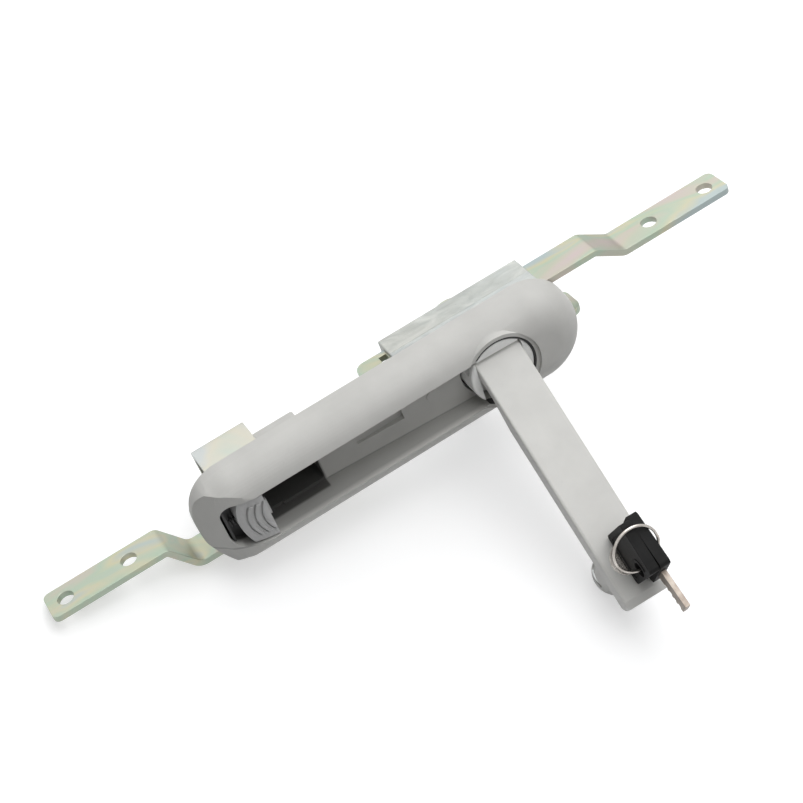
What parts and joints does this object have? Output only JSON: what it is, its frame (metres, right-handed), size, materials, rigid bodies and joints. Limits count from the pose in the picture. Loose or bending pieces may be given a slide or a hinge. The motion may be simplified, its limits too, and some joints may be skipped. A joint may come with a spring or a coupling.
{
  "type": "swing handle lock",
  "caption": "Rod-control swing handle lock: oblong die-cast housing, lift-and-turn handle with key cylinder, rack gear case, two joggled rods, cam and clamp bracket.",
  "frame": {"origin": "where the spindle's axis meets the door's outer face, which is the plane of the housing's flat back", "axes": "+X along the housing from the push button to the rotor end, +Y through the door towards the rods, +Z across the housing, away from the open handle"},
  "size_m": [0.2918, 0.1393, 0.0903],
  "materials": {
    "painted_zinc": "satin",
    "bare_zinc": "matt",
    "plated_steel": "satin",
    "bright_steel": "polished",
    "nickel": "polished",
    "grey_button": "satin",
    "black_plastic": "matt",
    "black_rubber": "matt"
  },
  "bodies": {
    "housing_body": {"housing": "painted_zinc", "gasket": "black_rubber", "rotor_seal": "black_rubber", "thrust_washer": "black_plastic", "gear_case_base": "bare_zinc", "gear_case_cover": "bare_zinc", "gear_case_screws": "bright_steel", "clamp_bracket": "plated_steel", "bracket_flat_washer": "bright_steel", "bracket_spring_washer": "bright_steel", "bracket_screw": "bright_steel", "button_base": "black_plastic", "button_spring": "bright_steel"},
    "rotor_body": {"rotor": "painted_zinc", "hinge_pin": "bright_steel", "spindle": "plated_steel", "spindle_pin": "bright_steel", "pinion": "bare_zinc", "cam": "plated_steel", "cam_flat_washer": "bright_steel", "cam_spring_washer": "bright_steel", "cam_screw": "bright_steel"},
    "handle_body": {"handle": "painted_zinc", "lock_sleeve": "nickel", "boss_rivet": "bright_steel"},
    "lock_body": {"cylinder_plug": "nickel", "lock_tongue": "bright_steel", "key_blade": "nickel", "key_head": "black_plastic"},
    "ring_body": {"key_ring": "nickel", "spare_key_head": "black_plastic", "spare_key_blade": "nickel"},
    "left_rod_body": {"rod_left": "plated_steel"},
    "right_rod_body": {"rod_right": "plated_steel"},
    "button_body": {"push_button": "grey_button"}
  },
  "joints": [
    {"name": "rotor_turn", "type": "hinge", "parent": "housing_body", "child": "rotor_body", "pos_m": [0, 0, 0], "axis": [0, 1, 0], "range_deg": [-2.1, 87.9]},
    {"name": "handle_lift", "type": "hinge", "parent": "rotor_body", "child": "handle_body", "pos_m": [0.00017, -0.0109, 0.0047], "axis": [-0.9993, 0, 0.0366], "range_deg": [-30, 12]},
    {"name": "plug_turn", "type": "hinge", "parent": "handle_body", "child": "lock_body", "pos_m": [-0.00172, -0.07874, -0.04697], "axis": [-0.0281, 0.6428, -0.7655], "range_deg": [0, 90]},
    {"name": "ring_swing", "type": "hinge", "parent": "lock_body", "child": "ring_body", "pos_m": [-0.00151, -0.09164, -0.04109], "axis": [0.9993, 0, -0.0366], "range_deg": [0, 4]},
    {"name": "rod_left_slide", "type": "slide", "parent": "housing_body", "child": "left_rod_body", "axis": [-1, 0, 0], "range_m": [-0.0004, 0.0146]},
    {"name": "rod_right_slide", "type": "slide", "parent": "housing_body", "child": "right_rod_body", "axis": [1, 0, 0], "range_m": [-0.0004, 0.0146]},
    {"name": "button_press", "type": "slide", "parent": "housing_body", "child": "button_body", "axis": [-1, 0, 0], "range_m": [0, 0.0023], "stiffness_N_per_m": 1000, "springref_m": -0.002, "deforming": ["button_spring"]}
  ],
  "couplings": [
    {"joint": "rod_left_slide", "follows": "rotor_turn", "m_per_rad": 0.0094},
    {"joint": "rod_right_slide", "follows": "rotor_turn", "m_per_rad": 0.0094}
  ]
}
